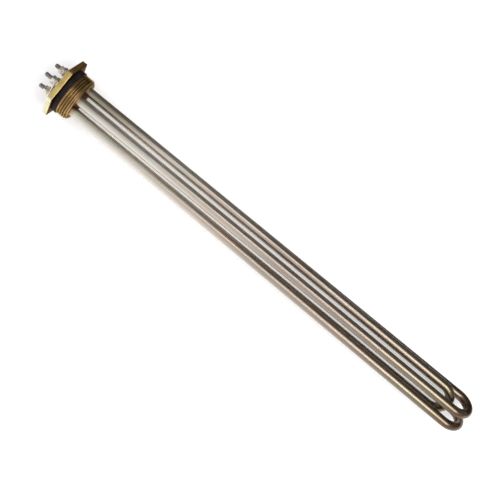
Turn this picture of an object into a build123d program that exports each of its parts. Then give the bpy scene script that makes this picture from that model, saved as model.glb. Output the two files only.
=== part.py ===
from build123d import *
from math import asin, atan2, cos, hypot, radians, sin
import os

# Electric immersion heater element: three bent tubular elements brazed into a brass
# hexagon screw plug, with six screw studs and four link plates in its terminal recess.
# Millimetres. X runs along the plug's axis towards the tube bends, and +Z is the normal
# of one hexagon flat. The origin is on the axis at the sealing ring's outer face, where
# the pipe thread begins.

# Plug flange
FLANGE_ACROSS_FLATS = 50.0
FLANGE_THICK = 5.3
FLANGE_CORNER_RADIUS = 1.2
FLANGE_EDGE_RADIUS = 0.6

# Lug at one hexagon corner, on the terminal side
LUG_LENGTH = 8.0
LUG_WIDTH = 6.6
LUG_HEIGHT = 2.8
LUG_EDGE_RADIUS = 0.7
LUG_INSET = 0.15
LUG_CORNER_ANGLE = -150.0

# Threaded shank, a G1 1/4 pipe thread drawn at its major diameter
THREAD_DIA = 41.91
THREAD_LENGTH = 10.4
THREAD_END_CHAMFER = 2.0
NECK_DIA = 38.4

# Sealing ring
SEAL_RING_DIA = 43.6
SEAL_RING_THICK = 5.3
SEAL_RING_EDGE_RADIUS = 1.1

# Terminal recess
RECESS_MOUTH_DIA = 36.5
RECESS_DEPTH = 13.0
RECESS_DRAFT_DEG = 3.5
RECESS_LIP_RADIUS = 1.4
RECESS_FLOOR_RADIUS = 1.0

# Tubular elements
TUBE_DIA = 8.5
TUBE_WALL = 0.7
TUBE_CIRCLE_DIA = 25.4
TERMINAL_COUNT = 6
BEND_RADIUS = 12.7
TUBE_STAND = 4.5
SPREAD_START = 6.0
SPREAD_RADIUS = 250.0
BRAZE_LEG = 1.1

# Inside each tube
COLD_LENGTH = 62.0
PIN_DIA = 3.2
PIN_SPIGOT_LENGTH = 8.0
COIL_DIA = 3.6
COIL_WALL = 0.4

# Terminal studs and their hardware, M4. A stud has its thread's major diameter where it
# stands free, and its pitch diameter where the nuts' threads meet it. The pitch diameter
# of a metric thread is its major diameter less the given number of pitches.
STUD_DIA = 4.0
STUD_THREAD_PITCH = 0.7
PITCHES_OFF_MAJOR = 0.6495
STUD_TIP_DIA = 2.6
STUD_TIP_LENGTH = 0.9
BUSH_DIA = 8.0
BUSH_SPIGOT_LENGTH = 2.5
NUT_ACROSS_FLATS = 7.0
NUT_HEIGHT = 3.2
NUT_CHAMFER = 0.35
FLAT_WASHER_DIA = 9.0
FLAT_WASHER_THICK = 0.8
SPRING_WASHER_DIA = 7.4
SPRING_WASHER_THICK = 1.0
SPRING_WASHER_SLIT = 0.7
SPRING_WASHER_SLANT_DEG = 30.0
LINK_WIDTH = 8.4
LINK_THICK = 1.0
LINK_SEAT_HEIGHT = 2.8
STUD_PLAY = 0.1
HOLE_PLAY = 0.3
NUT_TURN_STEP_DEG = 17.0
SPRING_WASHER_TURN_STEP_DEG = 51.0

# Closeness at which two places or sizes count as the same
SAME = 0.01

# Each element joins two terminals. Reach is measured from the sealing face to the
# outside of the bend, lean is how far its bend stands off to its own side, and the studs
# rise above the plug's terminal face.
ELEMENTS = {
    "a": {"ends": (5, 3), "reach": 449.0, "lean": 2.0, "stud_rise": 15.1},
    "b": {"ends": (6, 2), "reach": 447.0, "lean": 0.8, "stud_rise": 16.0},
    "c": {"ends": (1, 4), "reach": 429.5, "lean": 0.0, "stud_rise": 15.0},
}

# Each link joins two terminals, at the lower or the upper level.
LINKS = {
    "link_1": {"ends": (1, 2), "level": 1},
    "link_2": {"ends": (2, 3), "level": 0},
    "link_3": {"ends": (5, 6), "level": 0},
    "link_4": {"ends": (4, 5), "level": 1},
}

UNDERSIDE_X = -SEAL_RING_THICK
FACE_X = UNDERSIDE_X - FLANGE_THICK
FLOOR_X = FACE_X + RECESS_DEPTH
TUBE_END_X = FLOOR_X - TUBE_STAND
SPREAD_X = THREAD_LENGTH + SPREAD_START
TUBE_BORE_DIA = TUBE_DIA - 2 * TUBE_WALL
COIL_BORE_DIA = COIL_DIA - 2 * COIL_WALL
STUD_PITCH_DIA = STUD_DIA - PITCHES_OFF_MAJOR * STUD_THREAD_PITCH
ALONG = Vector(1, 0, 0)
TERMINALS = range(1, TERMINAL_COUNT + 1)


def terminal_yz(number):
    """Place of a terminal on the circle. The sixth is at the top, the first beside it at +Y."""
    angle = radians(360 / TERMINAL_COUNT * number)
    radius = TUBE_CIRCLE_DIA / 2
    return Vector(0, radius * sin(angle), radius * cos(angle))


def disc(x_from, x_to, diameter, centre=Vector(0, 0, 0)):
    """Round bar along X."""
    bar = Cylinder(diameter / 2, abs(x_to - x_from), align=(Align.CENTER, Align.CENTER, Align.MIN))
    return Pos(min(x_from, x_to), centre.Y, centre.Z) * Rot(0, 90, 0) * bar


def turned(points):
    """Solid of revolution about X from an outline in x and radius."""
    return revolve(make_face(Polyline(*points, close=True)), Axis.X)


def flange():
    """Hexagon with softened corners and edges."""
    outline = RegularPolygon(FLANGE_ACROSS_FLATS / 2, 6, major_radius=False, rotation=30)
    blank = Pos(FACE_X, 0, 0) * Rot(0, 90, 0) * extrude(outline, FLANGE_THICK)
    corners = blank.edges().filter_by(Axis.X)
    blank = fillet(corners, FLANGE_CORNER_RADIUS)
    rims = blank.faces().sort_by(Axis.X)[0].edges() + blank.faces().sort_by(Axis.X)[-1].edges()
    return fillet(rims, FLANGE_EDGE_RADIUS)


def lug():
    """Block cast onto the flange, whose outer end follows the hexagon's corner."""
    corner_radius = FLANGE_ACROSS_FLATS / 2 / cos(radians(30))
    outer = corner_radius + LUG_WIDTH
    root = FLANGE_THICK / 2
    block = Pos(FACE_X + root, 0, corner_radius - LUG_LENGTH) * Box(
        LUG_HEIGHT + root, LUG_WIDTH, outer, align=(Align.MAX, Align.CENTER, Align.MIN)
    )
    outline = RegularPolygon(FLANGE_ACROSS_FLATS / 2 - LUG_INSET, 6, major_radius=False)
    prism = Pos(FACE_X + root, 0, 0) * Rot(0, -90, 0) * extrude(outline, LUG_HEIGHT + root)
    block = block & prism
    block = fillet(block.edges().filter_by(Axis.X), LUG_EDGE_RADIUS)
    block = fillet(block.faces().sort_by(Axis.X)[0].edges(), LUG_EDGE_RADIUS)
    return Rot(LUG_CORNER_ANGLE, 0, 0) * block


def head():
    """Plug: flange, lug, neck, threaded shank, recess and six tube holes."""
    shank = turned([
        (UNDERSIDE_X - FLANGE_THICK / 2, 0),
        (UNDERSIDE_X - FLANGE_THICK / 2, NECK_DIA / 2),
        (0, NECK_DIA / 2),
        (0, THREAD_DIA / 2),
        (THREAD_LENGTH - THREAD_END_CHAMFER, THREAD_DIA / 2),
        (THREAD_LENGTH, THREAD_DIA / 2 - THREAD_END_CHAMFER),
        (THREAD_LENGTH, 0),
    ])
    mouth_radius = RECESS_MOUTH_DIA / 2
    floor_radius = mouth_radius - RECESS_DEPTH * sin(radians(RECESS_DRAFT_DEG))
    recess = turned([
        (FACE_X, 0), (FACE_X, mouth_radius), (FLOOR_X, floor_radius), (FLOOR_X, 0),
    ])
    recess = fillet(recess.edges().sort_by(Axis.X)[-1], RECESS_FLOOR_RADIUS)
    plug = flange() + shank + lug() - recess
    lip = plug.edges().filter_by(GeomType.CIRCLE).filter_by(
        lambda edge: abs(edge.center().X - FACE_X) < SAME and abs(edge.radius - mouth_radius) < SAME
    )
    plug = fillet(lip, RECESS_LIP_RADIUS)
    for number in TERMINALS:
        plug -= disc(FACE_X, THREAD_LENGTH, TUBE_DIA, terminal_yz(number))
    return plug


def seal_ring():
    """Rubber ring on the neck, between the flange and the thread."""
    ring = disc(UNDERSIDE_X, 0, SEAL_RING_DIA) - disc(UNDERSIDE_X, 0, NECK_DIA)
    outer = ring.edges().filter_by(GeomType.CIRCLE).group_by(SortBy.RADIUS)[-1]
    return fillet(outer, SEAL_RING_EDGE_RADIUS)


def hairpin_frame(ends):
    """Middle of two terminals, the way across from the second to the first, half their
    distance, and the way outwards from the plug's axis."""
    first, second = (terminal_yz(number) for number in ends)
    middle = (first + second) * 0.5
    across = (first - second).normalized()
    return middle, across, (first - second).length / 2, across.cross(ALONG)


def hairpin_points(element):
    """Points of one element's centre line: the leg roots, where the legs start to spread,
    where the bend begins and ends, and the bend's middle."""
    middle, across, half, outward = hairpin_frame(element["ends"])
    if middle.dot(outward) < 0:
        outward = outward * -1
    run = element["reach"] - SPREAD_X - BEND_RADIUS - TUBE_DIA / 2
    tilt = atan2(element["lean"], run)
    leg = ALONG * cos(tilt) + outward * sin(tilt)
    spread = asin(BEND_RADIUS / hypot(run, half)) - atan2(half, run)
    start = middle + ALONG * SPREAD_X
    centre = start + leg * run
    roots = [middle + ALONG * TUBE_END_X + across * half * side for side in (1, -1)]
    splits = [start + across * half * side for side in (1, -1)]
    bends = [
        centre - leg * (BEND_RADIUS * sin(spread)) + across * (BEND_RADIUS * cos(spread) * side)
        for side in (1, -1)
    ]
    return roots, splits, bends, centre + leg * BEND_RADIUS


def leg_edges(root, split, end):
    """Centre line of a leg: straight in the plug, then turned gently outwards. A leg that
    doesn't spread is one straight line."""
    if (split - root).normalized().cross(end - split).length < SAME:
        return [Line(root, end).edge()]
    return FilletPolyline(root, split, end, radius=SPREAD_RADIUS).edges()


def leg_point(element, side, depth):
    """Point of a leg at a distance along it from where it starts to spread."""
    _, splits, bends, _ = hairpin_points(element)
    return splits[side] + (bends[side] - splits[side]).normalized() * depth


def bend_wire(element, first, last):
    """Centre line from a point on one leg, round the bend, to a point on the other."""
    _, _, bends, tip = hairpin_points(element)
    return Wire([Line(first, bends[0]).edge(), ThreePointArc(bends[0], tip, bends[1]).edge(),
                 Line(bends[1], last).edge()])


def full_wire(element, root_x):
    """Centre line of a whole element, with both leg roots at one place along X."""
    roots, splits, bends, tip = hairpin_points(element)
    pieces = []
    for side in (0, 1):
        root = Vector(root_x, roots[side].Y, roots[side].Z)
        pieces += leg_edges(root, splits[side], bends[side])
    return Wire(pieces + [ThreePointArc(bends[0], tip, bends[1]).edge()])


def bar_along(wire, diameter):
    """Round bar swept along a centre line."""
    section = Plane(wire @ 0, z_dir=wire % 0) * Circle(diameter / 2)
    return sweep(section, path=wire)


def tube_along(wire, outer, bore):
    """Round tube swept along a centre line."""
    section = Plane(wire @ 0, z_dir=wire % 0) * (Circle(outer / 2) - Circle(bore / 2))
    return sweep(section, path=wire)


def sheath(element):
    """Bent metal tube, open at both ends."""
    return tube_along(full_wire(element, TUBE_END_X), TUBE_DIA, TUBE_BORE_DIA)


def cold_pin_wire(element, side):
    """Centre line of the cold pin, from the tube's mouth to the winding."""
    roots, splits, _, _ = hairpin_points(element)
    end = leg_point(element, side, COLD_LENGTH)
    return Wire(leg_edges(roots[side], splits[side], end))


def pin_spigot(element, side):
    """Reduced end of the pin that the winding is screwed onto."""
    first = leg_point(element, side, COLD_LENGTH)
    last = leg_point(element, side, COLD_LENGTH + PIN_SPIGOT_LENGTH)
    return bar_along(Wire([Line(first, last).edge()]), COIL_BORE_DIA)


def winding(element):
    """Resistance winding as the thin tube that its turns fill."""
    first, last = (leg_point(element, side, COLD_LENGTH) for side in (0, 1))
    return tube_along(bend_wire(element, first, last), COIL_DIA, COIL_BORE_DIA)


def packing(element):
    """Magnesium oxide: the sleeve round the pins and the winding, and the winding's core."""
    mouth_x = TUBE_END_X + BUSH_SPIGOT_LENGTH
    sleeve = bar_along(full_wire(element, mouth_x), TUBE_BORE_DIA)
    first, last = (leg_point(element, side, COLD_LENGTH) for side in (0, 1))
    sleeve -= bar_along(bend_wire(element, first, last), COIL_DIA)
    for side in (0, 1):
        sleeve -= bar_along(cold_pin_wire(element, side), PIN_DIA)
    depth = COLD_LENGTH + PIN_SPIGOT_LENGTH
    first, last = (leg_point(element, side, depth) for side in (0, 1))
    core = bar_along(bend_wire(element, first, last), COIL_BORE_DIA)
    return Compound([sleeve.solid(), core.solid()])


def terminal_pin(element, side):
    """Screw stud, cold pin and spigot in one piece."""
    number = element["ends"][side]
    spot = terminal_yz(number)
    free_x = upper_nut_seat_x(number) - NUT_HEIGHT
    stud = disc(FACE_X - element["stud_rise"], free_x, STUD_DIA, spot)
    end_face = stud.faces().sort_by(Axis.X)[0]
    stud = chamfer(end_face.edges(), STUD_TIP_LENGTH, (STUD_DIA - STUD_TIP_DIA) / 2, reference=end_face)
    stud += disc(free_x, TUBE_END_X, STUD_PITCH_DIA, spot)
    return stud + bar_along(cold_pin_wire(element, side), PIN_DIA) + pin_spigot(element, side)


def end_seal(number):
    """Black bush that closes a tube's end round its stud."""
    spot = terminal_yz(number)
    top_x = FACE_X - (LINK_SEAT_HEIGHT - NUT_HEIGHT)
    bush = disc(top_x, TUBE_END_X, BUSH_DIA, spot) - disc(top_x, TUBE_END_X, STUD_PITCH_DIA, spot)
    spigot_end = TUBE_END_X + BUSH_SPIGOT_LENGTH
    spigot = disc(TUBE_END_X, spigot_end, TUBE_BORE_DIA, spot)
    return bush + (spigot - disc(TUBE_END_X, spigot_end, PIN_DIA, spot))


def braze_fillet(number):
    """Braze metal in the corner between a tube and the plug's end face."""
    inner, outer = TUBE_DIA / 2, TUBE_DIA / 2 + BRAZE_LEG
    ring = turned([(THREAD_LENGTH, inner), (THREAD_LENGTH, outer), (THREAD_LENGTH + BRAZE_LEG, inner)])
    spot = terminal_yz(number)
    return Pos(0, spot.Y, spot.Z) * ring


def link_levels(number):
    """Levels of the link plates that a terminal carries."""
    return [link["level"] for link in LINKS.values() if number in link["ends"]]


def level_x(level):
    """Seat of a link level, counted along X."""
    return FACE_X - LINK_SEAT_HEIGHT - level * LINK_THICK


def link_plate(link):
    """Flat link with round ends and a hole at each stud."""
    first, second = (terminal_yz(number) for number in link["ends"])
    middle = (first + second) * 0.5
    seat = Plane((level_x(link["level"]), middle.Y, middle.Z), x_dir=first - second, z_dir=-ALONG)
    reach = (first - second).length
    outline = SlotCenterToCenter(reach, LINK_WIDTH)
    for side in (-1, 1):
        outline -= Pos(side * reach / 2, 0) * Circle((STUD_DIA + HOLE_PLAY) / 2)
    return extrude(seat * outline, LINK_THICK)


def nut(number, seat_x):
    """Hexagon nut that stands on a seat and rises towards -X."""
    outline = RegularPolygon(NUT_ACROSS_FLATS / 2, 6, major_radius=False)
    prism = Rot(0, -90, 0) * extrude(outline, NUT_HEIGHT)
    corner_dia = NUT_ACROSS_FLATS / cos(radians(30))
    round_blank = disc(-NUT_HEIGHT, 0, corner_dia)
    round_blank = chamfer(round_blank.edges().filter_by(GeomType.CIRCLE), NUT_CHAMFER)
    body = (prism & round_blank) - disc(-NUT_HEIGHT, 0, STUD_PITCH_DIA + STUD_PLAY)
    spot = terminal_yz(number)
    return Pos(seat_x, spot.Y, spot.Z) * Rot(NUT_TURN_STEP_DEG * number, 0, 0) * body


def stack_x(number):
    """Top of the links on a terminal, which its flat washer lies on."""
    return level_x(max(link_levels(number)) + 1)


def lower_nut(number):
    """Nut that carries the lowest link of a terminal."""
    return nut(number, level_x(min(link_levels(number))) + NUT_HEIGHT)


def flat_washer(number):
    """Plain washer on the links."""
    spot = terminal_yz(number)
    seat_x = stack_x(number)
    ends = (seat_x, seat_x - FLAT_WASHER_THICK)
    return disc(*ends, FLAT_WASHER_DIA, spot) - disc(*ends, STUD_DIA + HOLE_PLAY, spot)


def spring_washer(number):
    """Split washer on the plain one."""
    spot = terminal_yz(number)
    ring = disc(-SPRING_WASHER_THICK, 0, SPRING_WASHER_DIA)
    ring -= disc(-SPRING_WASHER_THICK, 0, STUD_DIA + HOLE_PLAY)
    slit = Box(SPRING_WASHER_DIA, SPRING_WASHER_SLIT, SPRING_WASHER_DIA,
               align=(Align.CENTER, Align.CENTER, Align.MIN))
    ring -= Pos(-SPRING_WASHER_THICK / 2, 0, 0) * Rot(0, 0, SPRING_WASHER_SLANT_DEG) * slit
    seat_x = stack_x(number) - FLAT_WASHER_THICK
    return Pos(seat_x, spot.Y, spot.Z) * Rot(SPRING_WASHER_TURN_STEP_DEG * number, 0, 0) * ring


def upper_nut_seat_x(number):
    """Top of the washers on a terminal."""
    return stack_x(number) - FLAT_WASHER_THICK - SPRING_WASHER_THICK


def upper_nut(number):
    """Nut that clamps the links."""
    return nut(number, upper_nut_seat_x(number))


def group(make):
    """Six like pieces, one at each terminal, as separate solids of one node."""
    return Compound([make(number).solid() for number in TERMINALS])


nodes = {"head": head(), "seal_ring": seal_ring(), "braze_fillets": group(braze_fillet)}
for key, element in ELEMENTS.items():
    nodes[f"sheath_{key}"] = sheath(element)
    nodes[f"magnesia_{key}"] = packing(element)
    nodes[f"heating_coil_{key}"] = winding(element)
    for side in (0, 1):
        nodes[f"terminal_pin_{element['ends'][side]}"] = terminal_pin(element, side)
for number in TERMINALS:
    nodes[f"end_seal_{number}"] = end_seal(number)
for name, link in LINKS.items():
    nodes[name] = link_plate(link)
nodes["lower_nuts"] = group(lower_nut)
nodes["flat_washers"] = group(flat_washer)
nodes["spring_washers"] = group(spring_washer)
nodes["upper_nuts"] = group(upper_nut)

os.makedirs("parts", exist_ok=True)
for name, shape in nodes.items():
    export_step(shape, f"parts/{name}.step")
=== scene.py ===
import math

import bmesh
import bpy
from mathutils import Matrix, Vector, noise


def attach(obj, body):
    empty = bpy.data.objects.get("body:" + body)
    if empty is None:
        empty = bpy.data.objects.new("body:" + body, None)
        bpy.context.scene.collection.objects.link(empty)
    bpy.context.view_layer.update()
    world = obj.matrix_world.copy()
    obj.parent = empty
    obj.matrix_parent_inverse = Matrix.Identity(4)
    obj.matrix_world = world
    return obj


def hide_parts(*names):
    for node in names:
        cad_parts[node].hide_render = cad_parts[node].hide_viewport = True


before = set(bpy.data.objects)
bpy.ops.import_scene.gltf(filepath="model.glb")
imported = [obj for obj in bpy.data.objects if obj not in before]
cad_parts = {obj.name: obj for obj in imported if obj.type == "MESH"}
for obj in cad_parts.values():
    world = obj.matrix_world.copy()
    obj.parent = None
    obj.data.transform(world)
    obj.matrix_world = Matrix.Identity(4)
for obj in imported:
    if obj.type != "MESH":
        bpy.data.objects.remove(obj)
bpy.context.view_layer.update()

MM = 0.001
X_AXIS = Vector((1, 0, 0))
ORIGIN = Vector((0, 0, 0))

# The plug's sizes in millimetres, as the CAD model has them. X runs from the terminals to the bends.
FLATS = 50.0
FLANGE_THICK = 5.3
CORNER_RADIUS = 1.2
EDGE_RADIUS = 0.6
LUG_LENGTH, LUG_WIDTH, LUG_HEIGHT = 8.0, 6.6, 2.8
LUG_ANGLE = math.radians(-150)
RING_THICK, RING_DIA, RING_EDGE = 5.3, 43.6, 1.1
NECK_DIA = 38.4
THREAD_DIA = 41.91
THREAD_PITCH = 2.309
THREAD_DEPTH = 1.48
THREAD_LENGTH = 10.4
END_CHAMFER = 2.0
MOUTH_DIA = 36.5
RECESS_DEPTH = 13.0
RECESS_DRAFT = math.radians(3.5)
LIP_RADIUS = 1.4
FLOOR_RADIUS = 1.0
UNDERSIDE = -RING_THICK
FACE = UNDERSIDE - FLANGE_THICK
FLOOR = FACE + RECESS_DEPTH

# The tubes, and the studs with what is on them.
TUBE_DIA = 8.5
CIRCLE_RADIUS = 12.7
BEND_RADIUS = 12.7
BRAZE_LEG = 1.1
TUBE_END = FLOOR - 4.5
SPREAD_X = THREAD_LENGTH + 6.0
ELEMENTS = {
    "a": {"ends": (5, 3), "reach": 449.0, "lean": 2.0, "rise": 15.1},
    "b": {"ends": (6, 2), "reach": 447.0, "lean": 0.8, "rise": 16.0},
    "c": {"ends": (1, 4), "reach": 429.5, "lean": 0.0, "rise": 15.0},
}
LINKS = {
    "link_1": {"ends": (1, 2), "level": 1},
    "link_2": {"ends": (2, 3), "level": 0},
    "link_3": {"ends": (5, 6), "level": 0},
    "link_4": {"ends": (4, 5), "level": 1},
}
STUD_DIA, STUD_PITCH, STUD_DEPTH, STUD_TIP_DIA, STUD_END_DIA = 4.0, 0.7, 0.38, 2.6, 1.2
SEAT_HEIGHT = 2.8
LINK_THICK, LINK_WIDTH = 1.0, 8.4
HOLE_DIA = 4.3
FLAT_DIA, FLAT_THICK = 9.0, 0.8
SPRING_DIA, SPRING_THICK, SPRING_SLIT_DEG = 7.4, 1.0, 12
NUT_FLATS, NUT_HEIGHT, NUT_HOLE_DIA = 7.0, 3.2, 4.04
NUT_FACE_RADIUS, NUT_CHAMFER_RADIUS = 3.3, 3.55
NUT_TURN_DEG, STUD_TURN = 17, 0.13
BUSH_DIA = 8.0
TERMINAL_COUNT = 6

# Mesh fineness: points round a section, the radius where a disc is closed in its middle, and how
# close, in metres, points are joined or count as lying on a rim.
PLUG_SEGMENTS, RING_SEGMENTS, TUBE_SEGMENTS = 560, 240, 44
NUT_SEGMENTS, WASHER_SEGMENTS, SMALL_SEGMENTS, STUD_SEGMENTS = 96, 72, 48, 36
CENTRE_RADIUS = 0.01
MERGE_METRES, RIM_METRES = 1e-7, 1e-6


# Mesh helpers. Places are in millimetres until make_object turns them into metres.

def terminal(number):
    """Centre of a terminal in the YZ plane."""
    angle = math.radians(360 / TERMINAL_COUNT * number)
    return Vector((0, CIRCLE_RADIUS * math.sin(angle), CIRCLE_RADIUS * math.cos(angle)))


def smooth(value):
    """Soft step from 0 to 1."""
    value = min(max(value, 0.0), 1.0)
    return value * value * (3 - 2 * value)


def make_object(name, points, faces, smooth_angle=40, fill_at=()):
    """Mesh object with its faces outwards. Open loops at the given places along X are filled."""
    mesh = bpy.data.meshes.new(name)
    mesh.from_pydata([point * MM for point in points], [], faces)
    build = bmesh.new()
    build.from_mesh(mesh)
    bmesh.ops.remove_doubles(build, verts=build.verts, dist=MERGE_METRES)
    for x in fill_at:
        rim = [edge for edge in build.edges
               if edge.is_boundary and abs(edge.verts[0].co.x - x * MM) < RIM_METRES]
        bmesh.ops.triangle_fill(build, use_beauty=True, edges=rim)
    bmesh.ops.recalc_face_normals(build, faces=build.faces)
    build.to_mesh(mesh)
    build.free()
    mesh.shade_smooth()
    mesh.set_sharp_from_angle(angle=math.radians(smooth_angle))
    piece = bpy.data.objects.new(name, mesh)
    bpy.context.scene.collection.objects.link(piece)
    return piece


def grid_faces(rows, columns):
    """Quads between rows of equally many points, each row a closed loop."""
    faces = []
    for row in range(rows - 1):
        for column in range(columns):
            a = row * columns + column
            b = row * columns + (column + 1) % columns
            faces.append((a, b, b + columns, a + columns))
    return faces


def loft(rows, segments, centre=ORIGIN, joined=False):
    """Points and faces through rows round X. A row is (x, radius), or a function of the angle that
    gives them. The last row is joined to the first, or else both ends are closed."""
    points = []
    for row in rows:
        for step in range(segments):
            angle = 2 * math.pi * step / segments
            x, radius = row(angle) if callable(row) else row
            points.append(centre + Vector((x, radius * math.sin(angle), radius * math.cos(angle))))
    faces = grid_faces(len(rows), segments)
    last = (len(rows) - 1) * segments
    if joined:
        for column in range(segments):
            right = (column + 1) % segments
            faces.append((last + column, last + right, right, column))
    else:
        faces.append(tuple(range(segments)))
        faces.append(tuple(range(last, last + segments)))
    return points, faces


def uneven(x, radius, amount, centre):
    """Row whose radius wanders a little, as on a moulded or flowed surface."""
    per_mm, circle = 0.4, 1.5

    def row(angle):
        spot = Vector((x * per_mm, circle * math.cos(angle), circle * math.sin(angle)))
        return x, radius + amount * noise.noise(spot + centre)
    return row


def arc(centre_x, centre_radius, radius, start, end, steps=5):
    """Outline points of an arc; angles in degrees from +X towards larger radii."""
    points = []
    for step in range(steps + 1):
        angle = math.radians(start + (end - start) * step / steps)
        points.append((centre_x + radius * math.cos(angle), centre_radius + radius * math.sin(angle)))
    return points


def sweep(path, radius, segments):
    """Closed round bar along a list of points, with a section that doesn't twist."""
    points = []
    side = (path[1] - path[0]).orthogonal()
    for index, place in enumerate(path):
        before = path[max(index - 1, 0)]
        after = path[min(index + 1, len(path) - 1)]
        tangent = (after - before).normalized()
        side = (side - tangent * side.dot(tangent)).normalized()
        other = tangent.cross(side)
        for step in range(segments):
            angle = 2 * math.pi * step / segments
            points.append(place + (side * math.cos(angle) + other * math.sin(angle)) * radius)
    faces = grid_faces(len(path), segments)
    faces.append(tuple(range(segments)))
    faces.append(tuple(range(len(points) - segments, len(points))))
    return points, faces


# Materials

WHITE = (1, 1, 1)


class Shader:
    """A node material under construction."""

    def __init__(self, name, **inputs):
        self.material = bpy.data.materials.new(name)
        self.material.use_nodes = True
        self.tree = self.material.node_tree
        self.bsdf = self.tree.nodes["Principled BSDF"]
        for key, value in inputs.items():
            self.bsdf.inputs[key].default_value = value
        self.coords = self.tree.nodes.new("ShaderNodeTexCoord").outputs["Object"]

    def feed(self, socket, value):
        """Links a socket, or sets a plain value."""
        if isinstance(value, bpy.types.NodeSocket):
            self.tree.links.new(value, socket)
        else:
            socket.default_value = value

    def noise(self, scale, stretch=(1, 1, 1), detail=4.0, roughness=0.55):
        """Noise of the object's coordinates; scale is per metre along an unstretched axis."""
        mapping = self.tree.nodes.new("ShaderNodeMapping")
        mapping.inputs["Scale"].default_value = tuple(scale * share for share in stretch)
        self.feed(mapping.inputs["Vector"], self.coords)
        texture = self.tree.nodes.new("ShaderNodeTexNoise")
        texture.inputs["Scale"].default_value = 1.0
        texture.inputs["Detail"].default_value = detail
        texture.inputs["Roughness"].default_value = roughness
        self.feed(texture.inputs["Vector"], mapping.outputs["Vector"])
        return texture.outputs["Fac"]

    def along(self, direction=(1, 0, 0)):
        """Place along a direction, in metres where its length is 1."""
        node = self.tree.nodes.new("ShaderNodeVectorMath")
        node.operation = "DOT_PRODUCT"
        self.feed(node.inputs[0], self.coords)
        node.inputs[1].default_value = direction
        return node.outputs["Value"]

    def radius(self):
        """Distance from the plug's axis, in metres."""
        flat = self.tree.nodes.new("ShaderNodeVectorMath")
        flat.operation = "MULTIPLY"
        self.feed(flat.inputs[0], self.coords)
        flat.inputs[1].default_value = (0, 1, 1)
        length = self.tree.nodes.new("ShaderNodeVectorMath")
        length.operation = "LENGTH"
        self.feed(length.inputs[0], flat.outputs["Vector"])
        return length.outputs["Value"]

    def ramp(self, source, stops):
        """Colour ramp; stops are (place, colour)."""
        node = self.tree.nodes.new("ShaderNodeValToRGB")
        elements = node.color_ramp.elements
        while len(elements) < len(stops):
            elements.new(0.5)
        for element, (place, colour) in zip(elements, stops):
            element.position = place
            element.color = (*colour, 1.0)
        self.feed(node.inputs["Fac"], source)
        return node.outputs["Color"]

    def span(self, source, low, high, new_low=0.0, new_high=1.0):
        """Maps one range to another, and holds it there."""
        node = self.tree.nodes.new("ShaderNodeMapRange")
        values = {"Value": source, "From Min": low, "From Max": high, "To Min": new_low, "To Max": new_high}
        for key, value in values.items():
            self.feed(node.inputs[key], value)
        return node.outputs["Result"]

    def fade(self, source, low, high, first, last):
        """Colour from first to last while the source goes from low to high, both in millimetres."""
        return self.ramp(self.span(source, low * MM, high * MM), [(0.0, first), (1.0, last)])

    def shade_and_flux_between_tubes(self):
        """Dark red-brown between the tubes, which fades out round them: painted shade at the tube roots, with
        burnt flux.
        """
        return self.fade(self.radius(), 12.5, 16.5, (0.24, 0.12, 0.10), WHITE)

    def sum(self, first, second):
        """Adds two values."""
        node = self.tree.nodes.new("ShaderNodeMath")
        node.operation = "ADD"
        self.feed(node.inputs[0], first)
        self.feed(node.inputs[1], second)
        return node.outputs["Value"]

    def darken(self, colour, by, share):
        """Multiplies one colour by another, as far as share says."""
        node = self.tree.nodes.new("ShaderNodeMix")
        node.data_type = "RGBA"
        node.blend_type = "MULTIPLY"
        self.feed(node.inputs[0], share)
        self.feed(node.inputs[6], colour)
        self.feed(node.inputs[7], by)
        return node.outputs[2]

    def layers(self, colour, *parts):
        """Multiplies a colour by layers, each given with its share."""
        for layer, share in parts:
            colour = self.darken(colour, layer, share)
        return colour

    def bump(self, source, distance, strength):
        """Adds a height to the surface, in metres."""
        node = self.tree.nodes.new("ShaderNodeBump")
        node.inputs["Strength"].default_value = strength
        node.inputs["Distance"].default_value = distance
        self.feed(node.inputs["Height"], source)
        normal = self.bsdf.inputs["Normal"]
        if normal.is_linked:
            self.feed(node.inputs["Normal"], normal.links[0].from_socket)
        self.feed(normal, node.outputs["Normal"])

    def finish(self, colour, rough):
        """Links the colour and the roughness, and gives the material."""
        self.feed(self.bsdf.inputs["Base Color"], colour)
        self.feed(self.bsdf.inputs["Roughness"], rough)
        return self.material


def cast_brass():
    """Orange cast skin with dark specks, on the terminal face and in the recess."""
    s = Shader("cast_brass", Metallic=1.0)
    cloud = s.noise(90, detail=5)
    grain = s.noise(1400, detail=6, roughness=0.7)
    tint = s.ramp(cloud, [(0.3, (0.52, 0.27, 0.05)), (0.55, (0.66, 0.37, 0.08)), (0.75, (0.75, 0.46, 0.12))])
    specks = s.ramp(grain, [(0.36, (0.30, 0.16, 0.05)), (0.47, WHITE)])
    s.bump(grain, 0.00012, 0.6)
    s.bump(cloud, 0.0003, 0.3)
    return s.finish(s.darken(tint, specks, 0.75), s.span(grain, 0.3, 0.7, 0.42, 0.6))


def milled_brass():
    """Paler brass of the hexagon's flats, drawn out along the cutter's path, with painted light and shade:
    paler on the lit -Y side, browner on the shaded +Y side.
    """
    s = Shader("milled_brass", Metallic=1.0)
    cloud = s.noise(110, detail=5)
    lines = s.noise(1100, stretch=(1, 0.12, 0.12), detail=3)
    tint = s.ramp(cloud, [(0.35, (0.72, 0.60, 0.38)), (0.5, (0.84, 0.76, 0.54)), (0.66, (0.89, 0.84, 0.68))])
    half_width = 26 * MM
    # Painted light and shade: the -Y side that faces the light is paler, the +Y side away from it browner.
    lit_and_shaded_sides = s.ramp(s.span(s.along((0, 1, 0)), -half_width, half_width), [
        (0.22, (0.87, 0.90, 0.84)), (0.3, (0.88, 0.76, 0.40)),
        (0.7, (0.83, 0.69, 0.36)), (0.85, (0.65, 0.46, 0.27)),
    ])
    s.bump(lines, 0.00004, 0.3)
    return s.finish(s.darken(tint, lit_and_shaded_sides, 1.0), s.span(lines, 0.3, 0.7, 0.32, 0.42))


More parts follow.
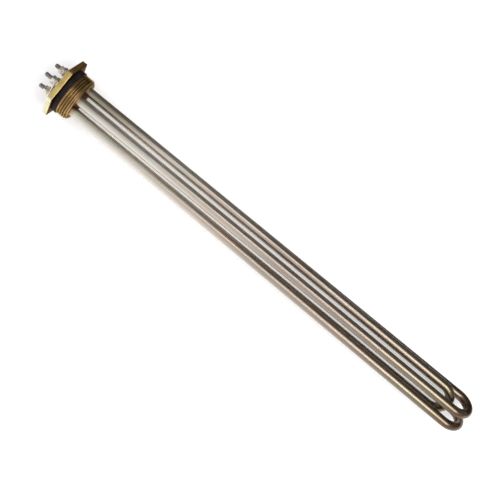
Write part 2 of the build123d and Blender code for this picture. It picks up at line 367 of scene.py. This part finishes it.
def turned_brass():
    """Browner brass of the flange's underside, the thread and the shank's end face."""
    s = Shader("turned_brass", Metallic=1.0, **{"Specular Tint": (0.38, 0.34, 0.29, 1.0)})
    cloud = s.noise(140, detail=5)
    tint = s.ramp(cloud, [(0.3, (0.42, 0.275, 0.12)), (0.55, (0.51, 0.35, 0.16)), (0.75, (0.60, 0.43, 0.21))])
    # Painted shade: the thread is darker towards the bottom of its grooves.
    depth = s.span(s.radius(), (THREAD_DIA / 2 - THREAD_DEPTH) * MM, THREAD_DIA / 2 * MM)
    groove_shade = s.ramp(depth, [(0.1, (0.60, 0.54, 0.46)), (0.9, WHITE)])
    threaded = s.span(s.along(), (THREAD_LENGTH - 1.2) * MM, (THREAD_LENGTH - 0.6) * MM, 1.0, 0.0)
    # Painted shade: the flange's underside, outside the seal, is darkened.
    underside = s.fade(s.radius(), 20.9, 21.8, WHITE, (0.36, 0.29, 0.22))
    end_face = s.fade(s.along(), THREAD_LENGTH - 0.5, THREAD_LENGTH - 0.1, WHITE, (0.72, 0.66, 0.58))
    s.bump(cloud, 0.0001, 0.2)
    # Painted shade also darkens the middle of the end face between the tubes.
    colour = s.layers(tint, (groove_shade, threaded), (underside, 1.0), (end_face, 1.0), (s.shade_and_flux_between_tubes(), 1.0))
    return s.finish(colour, s.span(cloud, 0.3, 0.7, 0.3, 0.4))


def braze():
    """Dull brown braze metal, dark between the tubes with painted shade and burnt flux."""
    s = Shader("braze", Metallic=1.0)
    cloud = s.noise(300)
    tint = s.ramp(cloud, [(0.35, (0.22, 0.15, 0.09)), (0.5, (0.36, 0.27, 0.17)), (0.7, (0.46, 0.36, 0.24))])
    s.bump(cloud, 0.0002, 0.5)
    return s.finish(s.darken(tint, s.shade_and_flux_between_tubes(), 1.0), s.span(cloud, 0.3, 0.7, 0.5, 0.65))


def sheath_metal():
    """Satin tube: brass-tinted at its root, silver near the plug and browned towards the bends."""
    s = Shader("sheath_metal", Metallic=1.0, **{
        "Coat Weight": 0.8, "Coat Roughness": 0.25, "Specular Tint": (0.44, 0.39, 0.34, 1.0),
    })
    blotch = s.noise(14, stretch=(1, 3, 3))
    lines = s.noise(1500, stretch=(0.01, 1, 1), detail=3)
    wander, length = 20 * MM, 450 * MM
    place = s.span(s.sum(s.along(), s.span(blotch, 0.3, 0.7, -wander, wander)), 0.0, length)
    tint = s.ramp(place, [
        (0.0, (0.74, 0.70, 0.62)), (0.2, (0.79, 0.74, 0.67)), (0.38, (0.62, 0.54, 0.465)),
        (0.55, (0.43, 0.355, 0.30)), (0.75, (0.29, 0.235, 0.185)), (0.9, (0.205, 0.163, 0.105)),
        (0.955, (0.15, 0.10, 0.06)), (0.985, (0.12, 0.068, 0.036)),
    ])
    # Darker near the plug towards +Y, where the first tube lies.
    darker_near_plug_plus_y = s.fade(s.along((1, -5, 0)), -20, 40, (0.56, 0.51, 0.45), WHITE)
    root = s.ramp(s.span(s.along(), 11.5 * MM, 15.5 * MM), [(0.2, (0.82, 0.62, 0.42)), (1.0, WHITE)])
    hue = s.noise(30, stretch=(1, 6, 6), detail=3)
    shades = s.ramp(hue, [(0.35, (1.0, 0.94, 0.90)), (0.5, (0.97, 0.97, 0.96)), (0.65, (0.93, 0.97, 0.93))])
    streaks = s.ramp(lines, [(0.35, (0.84, 0.82, 0.80)), (0.6, WHITE)])
    s.bump(lines, 0.00001, 0.2)
    colour = s.layers(tint, (darker_near_plug_plus_y, 1.0), (root, 1.0), (shades, 1.0), (streaks, 0.4))
    return s.finish(colour, s.span(lines, 0.3, 0.7, 0.26, 0.34))


def rubber():
    """Matt black rubber of the sealing ring."""
    s = Shader("rubber", **{"Specular IOR Level": 0.15})
    cloud = s.noise(200)
    tint = s.ramp(cloud, [(0.3, (0.009, 0.005, 0.006)), (0.7, (0.018, 0.011, 0.012))])
    s.bump(cloud, 0.0001, 0.4)
    return s.finish(tint, s.span(cloud, 0.3, 0.7, 0.5, 0.7))


def bush_black():
    """Bluish black of the bushes in the recess."""
    s = Shader("bush_black")
    cloud = s.noise(500)
    tint = s.ramp(cloud, [(0.3, (0.006, 0.006, 0.009)), (0.7, (0.02, 0.02, 0.026))])
    s.bump(cloud, 0.0001, 0.4)
    return s.finish(tint, s.span(cloud, 0.3, 0.7, 0.45, 0.65))


def plated():
    """Bright plating with fine scratches, a little yellowed in places."""
    s = Shader("plated", Metallic=1.0)
    cloud = s.noise(350)
    scratch = s.noise(2500, stretch=(1, 0.15, 0.6), detail=3)
    tint = s.ramp(cloud, [(0.3, (0.66, 0.60, 0.50)), (0.55, (0.84, 0.79, 0.71)), (0.75, (0.90, 0.87, 0.82))])
    s.bump(scratch, 0.00002, 0.4)
    return s.finish(tint, s.span(scratch, 0.3, 0.7, 0.18, 0.3))


def stud_metal():
    """Dull screw stud, grey with purple-brown oxide."""
    s = Shader("stud_metal", Metallic=1.0)
    cloud = s.noise(700, detail=5)
    tint = s.ramp(cloud, [(0.3, (0.16, 0.13, 0.14)), (0.5, (0.33, 0.30, 0.31)), (0.7, (0.52, 0.49, 0.48))])
    s.bump(cloud, 0.00006, 0.4)
    return s.finish(tint, s.span(cloud, 0.3, 0.7, 0.32, 0.5))


def grainy(name, low, high, scale):
    """Plain matt material of the pieces sealed in the tubes."""
    s = Shader(name)
    grain = s.noise(scale, detail=5)
    s.bump(grain, 0.0001, 0.3)
    return s.finish(s.ramp(grain, [(0.3, low), (0.7, high)]), s.span(grain, 0.3, 0.7, 0.7, 0.9))


MATERIALS = {
    "cast_brass": cast_brass(), "milled_brass": milled_brass(), "turned_brass": turned_brass(),
    "braze": braze(), "sheath": sheath_metal(), "rubber": rubber(), "bush": bush_black(),
    "plated": plated(), "stud": stud_metal(),
    "magnesia": grainy("magnesia", (0.7, 0.67, 0.6), (0.85, 0.83, 0.78), 1500),
    "winding": grainy("winding", (0.25, 0.23, 0.2), (0.4, 0.38, 0.36), 900),
}


def dress(piece, looks, slot, *nodes):
    """Gives a piece its materials and its body, and hides the CAD nodes that it stands for."""
    for look in looks:
        piece.data.materials.append(MATERIALS[look])
    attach(piece, "root")
    if nodes:
        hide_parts(*nodes)


# Plug

def hexagon_radius(angle, inset=0.0):
    """Distance from the axis to a hexagon with rounded corners, at an angle from +Z towards +Y."""
    corner = math.pi / 6
    apothem = FLATS / 2 - inset
    radius = CORNER_RADIUS - inset
    local = abs((angle + corner) % (2 * corner) - corner)
    if apothem * math.tan(local) <= (apothem - radius) * math.tan(corner):
        return apothem / math.cos(local)
    centre = (apothem - radius) / math.cos(corner)
    away = corner - local
    return centre * math.cos(away) + math.sqrt(radius ** 2 - (centre * math.sin(away)) ** 2)


def lug_rise(y, z):
    """Height of the cast lug over the flange face at a place."""
    along = z * math.cos(LUG_ANGLE) - y * math.sin(LUG_ANGLE)
    across = y * math.cos(LUG_ANGLE) + z * math.sin(LUG_ANGLE)
    start = FLATS / 2 / math.cos(math.pi / 6) - LUG_LENGTH
    inside = min(along - start, LUG_WIDTH / 2 - abs(across))
    foot, slope = 0.15, 0.75
    return LUG_HEIGHT * smooth((inside + foot) / slope)


def face_row(lip, share):
    """Row on the cast terminal face, at a share of the way from the recess's lip to the edge."""
    height, per_mm = 0.04, 0.35

    def row(angle):
        radius = lip + (hexagon_radius(angle, EDGE_RADIUS) - lip) * share
        y, z = radius * math.sin(angle), radius * math.cos(angle)
        ripple = height * noise.noise(Vector((0, y, z)) * per_mm)
        return FACE - lug_rise(y, z) + ripple, radius
    return row


def edge_row(turn, on_face):
    """Row round the flange's softened edge; turn runs from 0 at the flat's side to 90 degrees."""
    inset = EDGE_RADIUS * (1 - math.cos(turn))
    drop = EDGE_RADIUS * (1 - math.sin(turn))

    def row(angle):
        radius = hexagon_radius(angle, inset)
        if on_face:
            return FACE + drop - lug_rise(radius * math.sin(angle), radius * math.cos(angle)), radius
        return UNDERSIDE - drop, radius
    return row


def thread_row(x):
    """Row across the pipe thread, which is cut off by the chamfer at the shank's end."""
    crest, flank, run_in, worn = 0.16, 0.68, 0.9, 0.03

    def row(angle):
        phase = (x / THREAD_PITCH - angle / (2 * math.pi)) % 1.0
        cut = min(max((abs(2 * phase - 1) - crest) / flank, 0.0), 1.0)
        depth = THREAD_DEPTH * (0.5 * cut + 0.5 * smooth(cut)) * smooth(x / run_in)
        over = max(x - (THREAD_LENGTH - END_CHAMFER), 0.0)
        return x, min(THREAD_DIA / 2 - worn - depth, THREAD_DIA / 2 - over)
    return row


def plug():
    """Recess, terminal face with its lug, hexagon, neck, pipe thread and end face in one mesh."""
    mouth = MOUTH_DIA / 2
    floor_radius = mouth - RECESS_DEPTH * math.sin(RECESS_DRAFT)
    lip_centre = mouth + LIP_RADIUS * (1 - math.sin(RECESS_DRAFT))
    floor_rings, end_rings, neck_ring = (8.0, 12.0), (17.9, 8.0), 0.5
    cast = [(FLOOR, radius) for radius in (CENTRE_RADIUS, *floor_rings)]
    cast += arc(FLOOR - FLOOR_RADIUS, floor_radius - FLOOR_RADIUS, FLOOR_RADIUS, 0, 90)
    wall_steps, face_steps, edge_steps, thread_steps = 6, 30, 4, 74
    for step in range(1, wall_steps):
        share = step / wall_steps
        x = FLOOR - FLOOR_RADIUS + (FACE + LIP_RADIUS - FLOOR + FLOOR_RADIUS) * share
        cast.append((x, floor_radius + (lip_centre - LIP_RADIUS - floor_radius) * share))
    cast += arc(FACE + LIP_RADIUS, lip_centre, LIP_RADIUS, 270, 180, 6)
    cast += [face_row(lip_centre, step / face_steps) for step in range(1, face_steps + 1)]
    quarter = [math.pi / 2 / edge_steps * step for step in range(edge_steps + 1)]
    milled = [edge_row(turn, True) for turn in quarter[::-1]]
    milled += [edge_row(turn, False) for turn in quarter]
    neck = NECK_DIA / 2
    turned = [(UNDERSIDE, neck + neck_ring), (UNDERSIDE, neck), (0.0, neck)]
    turned += [thread_row(THREAD_LENGTH * step / thread_steps) for step in range(thread_steps + 1)]
    turned += [(THREAD_LENGTH, radius) for radius in (*end_rings, CENTRE_RADIUS)]
    points, faces = loft(cast + milled + turned, PLUG_SEGMENTS)
    piece = make_object("plug", points, faces, smooth_angle=65)
    dress(piece, ("cast_brass", "milled_brass", "turned_brass"), "brass", "head")
    # The softened edge under the flats has the underside's look.
    turned_from = len(cast) + len(milled) - edge_steps
    for polygon in piece.data.polygons:
        row = polygon.index // PLUG_SEGMENTS
        polygon.material_index = (row >= len(cast)) + (row >= turned_from)


def seal():
    """Rubber ring between the flange and the thread."""
    gap, wander = 0.02, 0.1
    outer = RING_DIA / 2 - RING_EDGE
    inner = NECK_DIA / 2 + gap
    outline = [(UNDERSIDE + gap, inner)]
    outline += arc(UNDERSIDE + RING_EDGE + gap, outer, RING_EDGE, 180, 90, 7)
    outline += arc(-RING_EDGE - gap, outer, RING_EDGE, 90, 0, 7)
    outline += [(-gap, inner)]
    rows = [uneven(x, radius, wander, ORIGIN) for x, radius in outline]
    dress(make_object("seal", *loft(rows, RING_SEGMENTS, joined=True)), ("rubber",), "rubber", "seal_ring")


# Tubes

def centre_line(element):
    """Points along one bent tube, from one root round the bend to the other."""
    first, second = (terminal(number) for number in element["ends"])
    middle = (first + second) / 2
    across = (first - second).normalized()
    half = (first - second).length / 2
    outward = across.cross(X_AXIS)
    if middle.dot(outward) < 0:
        outward = -outward
    run = element["reach"] - SPREAD_X - BEND_RADIUS - TUBE_DIA / 2
    tilt = math.atan2(element["lean"], run)
    leg = X_AXIS * math.cos(tilt) + outward * math.sin(tilt)
    spread = math.asin(BEND_RADIUS / math.hypot(run, half)) - math.atan2(half, run)
    start = middle + X_AXIS * SPREAD_X
    centre = start + leg * run
    root_steps, leg_steps, bend_steps = 4, 60, 56

    def on_bend(turn):
        return centre + leg * (BEND_RADIUS * math.sin(turn)) + across * (BEND_RADIUS * math.cos(turn))

    def leg_points(side):
        root = middle + across * half * side + X_AXIS * TUBE_END
        split = start + across * half * side
        bend = on_bend(-spread) if side > 0 else on_bend(math.pi + spread)
        straight = [root.lerp(split, step / root_steps) for step in range(root_steps)]
        return straight + [split.lerp(bend, step / leg_steps) for step in range(leg_steps)]

    curve = [on_bend(-spread + (math.pi + 2 * spread) * step / bend_steps) for step in range(bend_steps + 1)]
    return leg_points(1) + curve + leg_points(-1)[::-1]


def braze_rows(spot):
    """Hollow-faced ring of braze metal in the corner between a tube and the end face."""
    wander, steps = 0.25, 6
    tube = TUBE_DIA / 2
    bottom, inner = THREAD_LENGTH - 0.2, tube - 0.3
    outline = [(bottom, inner), (bottom, tube + BRAZE_LEG)]
    for step in range(steps + 1):
        share = step / steps
        outline.append((THREAD_LENGTH + BRAZE_LEG * share ** 2, tube + BRAZE_LEG * (1 - share) ** 2))
    outline.append((THREAD_LENGTH + BRAZE_LEG, inner))
    return [uneven(x, radius, wander, spot) for x, radius in outline]


def tubes():
    """The three bent tubes, and a ring of braze metal at each of their six ends."""
    for key, element in ELEMENTS.items():
        piece = make_object(f"tube_{key}", *sweep(centre_line(element), TUBE_DIA / 2, TUBE_SEGMENTS))
        dress(piece, ("sheath",), "sheath", f"sheath_{key}")
    for number in range(1, TERMINAL_COUNT + 1):
        spot = terminal(number)
        piece = make_object(f"braze_{number}", *loft(braze_rows(spot), SMALL_SEGMENTS, spot, joined=True))
        dress(piece, ("braze",), "braze", *(["braze_fillets"] if number == 1 else []))


# Terminals

def level_x(level):
    """Seat of a link level."""
    return FACE - SEAT_HEIGHT - level * LINK_THICK


def levels(number):
    """Link levels that a terminal carries."""
    return [link["level"] for link in LINKS.values() if number in link["ends"]]


def stud(spot, tip_x, turn):
    """Screw stud from its coned tip to its hidden end in the bush."""
    steps_a_pitch, cone, sharpness, crest = 8, 0.9, 1.3, 0.15
    step_x = STUD_PITCH / steps_a_pitch
    steps = int((TUBE_END - tip_x) / step_x)

    def thread(index):
        def row(angle):
            x = tip_x + index * step_x
            phase = (x / STUD_PITCH - angle / (2 * math.pi) + turn) % 1.0
            cut = STUD_DEPTH * smooth(abs(2 * phase - 1) * sharpness - crest)
            return x, min(STUD_DIA / 2 - cut, STUD_TIP_DIA / 2 + index * step_x * cone)
        return row

    rows = [(tip_x, STUD_END_DIA / 2)] + [thread(index) for index in range(steps + 1)]
    return loft(rows, STUD_SEGMENTS, spot)


def bush(spot):
    """Black bush on a tube's end."""
    top = FACE - SEAT_HEIGHT + NUT_HEIGHT
    inner, outer = STUD_DIA / 2, BUSH_DIA / 2
    chamfer, edge, wander = 0.3, 0.6, 0.06
    outline = [(TUBE_END, inner), (TUBE_END, outer - chamfer), (TUBE_END - chamfer, outer)]
    outline += arc(top + edge, outer - edge, edge, 90, 180, 4) + [(top, inner)]
    return loft([uneven(x, radius, wander, spot) for x, radius in outline], SMALL_SEGMENTS, spot, joined=True)


def nut(spot, seat, turn):
    """Chamfered hexagon nut that rises from its seat towards -X."""
    corner = NUT_FLATS / 2 / math.cos(math.pi / 6)

    def hexagon(x, radius):
        def row(angle):
            local = (angle - turn + math.pi / 6) % (math.pi / 3) - math.pi / 6
            return x, min(NUT_FLATS / 2 / math.cos(local), radius)
        return row

    hole = NUT_HOLE_DIA / 2
    top = seat - NUT_HEIGHT
    face, chamfer = NUT_FACE_RADIUS, NUT_CHAMFER_RADIUS
    high, low, mouth = 0.16, 0.42, 0.3
    rows = [(seat, hole), (seat, face), hexagon(seat - high, chamfer), hexagon(seat - low, corner)]
    rows += [hexagon(seat + (top - seat) * share, corner) for share in (0.35, 0.65)]
    rows += [hexagon(top + low, corner), hexagon(top + high, chamfer), (top, face)]
    rows += [(top, hole + mouth), (top + mouth, hole)]
    return loft(rows, NUT_SEGMENTS, spot, joined=True)


def flat_washer(spot, seat):
    """Plain washer with rolled edges."""
    hole, outer, edge, mouth = HOLE_DIA / 2, FLAT_DIA / 2, 0.2, 0.15
    top = seat - FLAT_THICK
    outline = [(seat, hole)] + arc(seat - edge, outer - edge, edge, 0, 90, 3)
    outline += arc(top + edge, outer - edge, edge, 90, 180, 3) + [(top, hole + mouth), (top + mouth, hole)]
    return loft(outline, WASHER_SEGMENTS, spot, joined=True)


def spring_washer(spot, seat, turn):
    """Split washer: one turn of square wire, its cut ends a little apart."""
    segments, clearance, shear = 64, 0.02, 0.16
    gap = math.radians(SPRING_SLIT_DEG)
    inner, outer = HOLE_DIA / 2, SPRING_DIA / 2
    low, high = clearance, SPRING_THICK - clearance
    edge, hole_edge, hole_depth = 0.15, 0.12, 0.13
    section = [
        (low, inner + hole_edge), (low, outer - edge),
        (low + edge, outer), (high - edge, outer),
        (high, outer - edge), (high, inner + hole_edge),
        (high - hole_depth, inner), (low + hole_depth, inner),
    ]
    points = []
    for step in range(segments + 1):
        for depth, radius in section:
            slant = shear * (depth / SPRING_THICK - 0.5)
            angle = turn + gap / 2 + slant + (2 * math.pi - gap) * step / segments
            points.append(spot + Vector((seat - depth, radius * math.sin(angle), radius * math.cos(angle))))
    faces = grid_faces(segments + 1, len(section))
    faces.append(tuple(range(len(section))))
    faces.append(tuple(range(len(points) - len(section), len(points))))
    return points, faces


def slot_loop(x, radius, first, second):
    """Loop round two centres: a slot's outline, or a circle where both are the same."""
    across = X_AXIS.cross(terminal(1)).normalized() if first == second else (second - first).normalized()
    side = across.cross(X_AXIS)
    steps = 40
    loop = []
    for centre, start in ((first, math.pi / 2), (second, -math.pi / 2)):
        for step in range(steps + 1):
            angle = start + math.pi * step / steps
            offset = across * math.cos(angle) + side * math.sin(angle)
            loop.append(centre + X_AXIS * x + offset * radius)
    return loop


def link_plate(name, link):
    """Flat link with round ends, soft edges and a hole at each stud."""
    first, second = (terminal(number) for number in link["ends"])
    bottom = level_x(link["level"])
    top = bottom - LINK_THICK
    outer, edge, middle = LINK_WIDTH / 2, 0.22, 0.066
    profile = [
        (bottom, outer - edge), (bottom - middle, outer - middle), (bottom - edge, outer),
        (top + edge, outer), (top + middle, outer - middle), (top, outer - edge),
    ]
    walls = [[slot_loop(x, radius, first, second) for x, radius in profile]]
    for centre in (first, second):
        walls.append([slot_loop(x, HOLE_DIA / 2, centre, centre) for x in (bottom, top)])
    points, faces = [], []
    for loops in walls:
        start = len(points)
        faces += [tuple(start + corner for corner in face) for face in grid_faces(len(loops), len(loops[0]))]
        points += [point for loop in loops for point in loop]
    piece = make_object(f"{name}_plate", points, faces, smooth_angle=30, fill_at=(bottom, top))
    dress(piece, ("plated",), "plated", name)


def terminals():
    """Studs, bushes, nuts, washers and links. A kind that is one node in the CAD model is replaced once."""
    rises = {number: element["rise"] for element in ELEMENTS.values() for number in element["ends"]}
    for number in range(1, TERMINAL_COUNT + 1):
        spot = terminal(number)
        mesh_parts = stud(spot, FACE - rises[number], STUD_TURN * number)
        piece = make_object(f"stud_{number}", *mesh_parts, smooth_angle=60)
        dress(piece, ("stud",), "stud", f"terminal_pin_{number}")
        dress(make_object(f"bush_{number}", *bush(spot)), ("bush",), "bush", f"end_seal_{number}")
        seat = level_x(max(levels(number)) + 1)
        low_seat = level_x(min(levels(number))) + NUT_HEIGHT
        turn = math.radians(NUT_TURN_DEG * number)
        stack = {
            "flat_washers": flat_washer(spot, seat),
            "spring_washers": spring_washer(spot, seat - FLAT_THICK, 3 * turn),
            "upper_nuts": nut(spot, seat - FLAT_THICK - SPRING_THICK, turn),
            "lower_nuts": nut(spot, low_seat, turn),
        }
        for node, mesh_parts in stack.items():
            piece = make_object(f"{node[:-1]}_{number}", *mesh_parts, smooth_angle=30)
            dress(piece, ("plated",), "plated", *([node] if number == 1 else []))
    for name, link in LINKS.items():
        link_plate(name, link)


plug()
seal()
tubes()
terminals()
for node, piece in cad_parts.items():
    if node.startswith(("magnesia", "heating_coil")):
        piece.data.materials.clear()
        piece.data.materials.append(MATERIALS["magnesia" if node.startswith("magnesia") else "winding"])


# Stage and light

def white_ray(tree):
    """Socket that is 1 for what the camera sees, also in a reflection or through glass."""
    rays = tree.nodes.new("ShaderNodeLightPath")
    seen = rays.outputs["Is Camera Ray"]
    for name in ("Is Glossy Ray", "Is Transmission Ray"):
        either = tree.nodes.new("ShaderNodeMath")
        either.operation = "MAXIMUM"
        tree.links.new(seen, either.inputs[0])
        tree.links.new(rays.outputs[name], either.inputs[1])
        seen = either.outputs["Value"]
    return seen


def floor_white(shade, glow):
    """Pale floor that keeps the object's shadow, with a little white added for the camera."""
    material = bpy.data.materials.new("floor_white")
    material.use_nodes = True
    tree = material.node_tree
    bsdf = tree.nodes["Principled BSDF"]
    bsdf.inputs["Base Color"].default_value = (shade, shade, shade, 1)
    bsdf.inputs["Roughness"].default_value = 1.0
    bsdf.inputs["Specular IOR Level"].default_value = 0.0
    bsdf.inputs["Emission Color"].default_value = (1, 1, 1, 1)
    level = tree.nodes.new("ShaderNodeMath")
    level.operation = "MULTIPLY"
    level.inputs[1].default_value = glow
    tree.links.new(white_ray(tree), level.inputs[0])
    tree.links.new(level.outputs["Value"], bsdf.inputs["Emission Strength"])
    return material


def plane(name, centre, size, material):
    """Flat stage piece."""
    mesh = bpy.data.meshes.new(name)
    x, y = size[0] / 2, size[1] / 2
    mesh.from_pydata([(-x, -y, 0), (x, -y, 0), (x, y, 0), (-x, y, 0)], [], [(0, 1, 2, 3)])
    mesh.materials.append(material)
    piece = bpy.data.objects.new(name, mesh)
    piece.location = centre
    bpy.context.scene.collection.objects.link(piece)
    return piece


def dim_card(name, centre, size, colour):
    """Dim card beside the object, on the side away from the light, that only reflections see."""
    material = bpy.data.materials.new("dim_card")
    material.use_nodes = True
    bsdf = material.node_tree.nodes["Principled BSDF"]
    bsdf.inputs["Base Color"].default_value = (0, 0, 0, 1)
    bsdf.inputs["Specular IOR Level"].default_value = 0.0
    bsdf.inputs["Emission Color"].default_value = (*colour, 1)
    bsdf.inputs["Emission Strength"].default_value = 1.0
    piece = plane(name, centre, size, material)
    piece.visible_camera = False
    piece.visible_diffuse = False
    piece.visible_shadow = False


def world_light(plain, bright_side, dark_side):
    """White surroundings, dimmer as a lamp than as a background. Reflections see them fall off from
    the -Y side to the +Y side."""
    world = bpy.data.worlds.new("world")
    bpy.context.scene.world = world
    world.use_nodes = True
    tree = world.node_tree
    background = tree.nodes["Background"]
    background.inputs["Color"].default_value = (1, 1, 1, 1)
    split = tree.nodes.new("ShaderNodeSeparateXYZ")
    tree.links.new(tree.nodes.new("ShaderNodeTexCoord").outputs["Generated"], split.inputs["Vector"])
    falloff = tree.nodes.new("ShaderNodeMapRange")
    falloff.inputs["From Min"].default_value = -1.0
    falloff.inputs["To Min"].default_value = bright_side
    falloff.inputs["To Max"].default_value = dark_side
    tree.links.new(split.outputs["Y"], falloff.inputs["Value"])
    rays = tree.nodes.new("ShaderNodeLightPath")
    reflected = tree.nodes.new("ShaderNodeMapRange")
    tree.links.new(rays.outputs["Is Camera Ray"], reflected.inputs["Value"])
    tree.links.new(falloff.outputs["Result"], reflected.inputs["To Min"])
    level = tree.nodes.new("ShaderNodeMapRange")
    level.inputs["To Min"].default_value = plain
    tree.links.new(white_ray(tree), level.inputs["Value"])
    tree.links.new(reflected.outputs["Result"], level.inputs["To Max"])
    tree.links.new(level.outputs["Result"], background.inputs["Strength"])


def lamp(name, place, size, radiance):
    """Soft rectangular lamp that shines straight down; its power follows from its size and radiance."""
    data = bpy.data.lights.new(name, "AREA")
    data.shape = "RECTANGLE"
    data.size, data.size_y = size
    data.energy = 4 * size[0] * size[1] * radiance
    piece = bpy.data.objects.new(name, data)
    piece.location = place
    bpy.context.scene.collection.objects.link(piece)


FLOOR_Z = -FLATS / 2 * MM
CARD_LIFT = 0.0005
plane("floor", (0.2, 0, FLOOR_Z), (14, 14), floor_white(shade=0.8, glow=0.22))
world_light(plain=1.0, bright_side=1.06, dark_side=0.06)
dim_card("card_low", (0.2, 0.235, FLOOR_Z + CARD_LIFT), (4.0, 0.40), (0.05, 0.04, 0.03))
lamp("strip", place=(0.80, 0.04, 1.1), size=(0.7, 0.62), radiance=5.0)
lamp("soft", place=(0.33, 0.46, 1.1), size=(0.5, 0.42), radiance=1.9)


# Camera, set to the photograph's view

CAMERA_PLACE = Vector((0.2311, 0.0353, 1.2756))
CAMERA_TARGET = Vector((0.2102, -0.0062, 0.0))
CAMERA_ROLL = math.radians(39.542)
FOCAL_PIXELS = 1460.4
FRAME_PIXELS = 504
SENSOR_WIDTH = 36.0

forward = (CAMERA_TARGET - CAMERA_PLACE).normalized()
level = (X_AXIS - forward * forward.x).normalized()
upward = level.cross(forward)
if upward.y < 0:
    upward = -upward
right = level * math.cos(CAMERA_ROLL) + upward * math.sin(CAMERA_ROLL)
up = upward * math.cos(CAMERA_ROLL) - level * math.sin(CAMERA_ROLL)
lens = bpy.data.cameras.new("camera")
lens.sensor_width = SENSOR_WIDTH
lens.lens = FOCAL_PIXELS * SENSOR_WIDTH / FRAME_PIXELS
lens.clip_end = 50.0
camera = bpy.data.objects.new("camera", lens)
camera.matrix_world = Matrix.Translation(CAMERA_PLACE) @ Matrix((right, up, -forward)).transposed().to_4x4()
bpy.context.scene.collection.objects.link(camera)
bpy.context.scene.camera = camera
bpy.context.scene.view_settings.view_transform = "Standard"

bpy.context.view_layer.update()
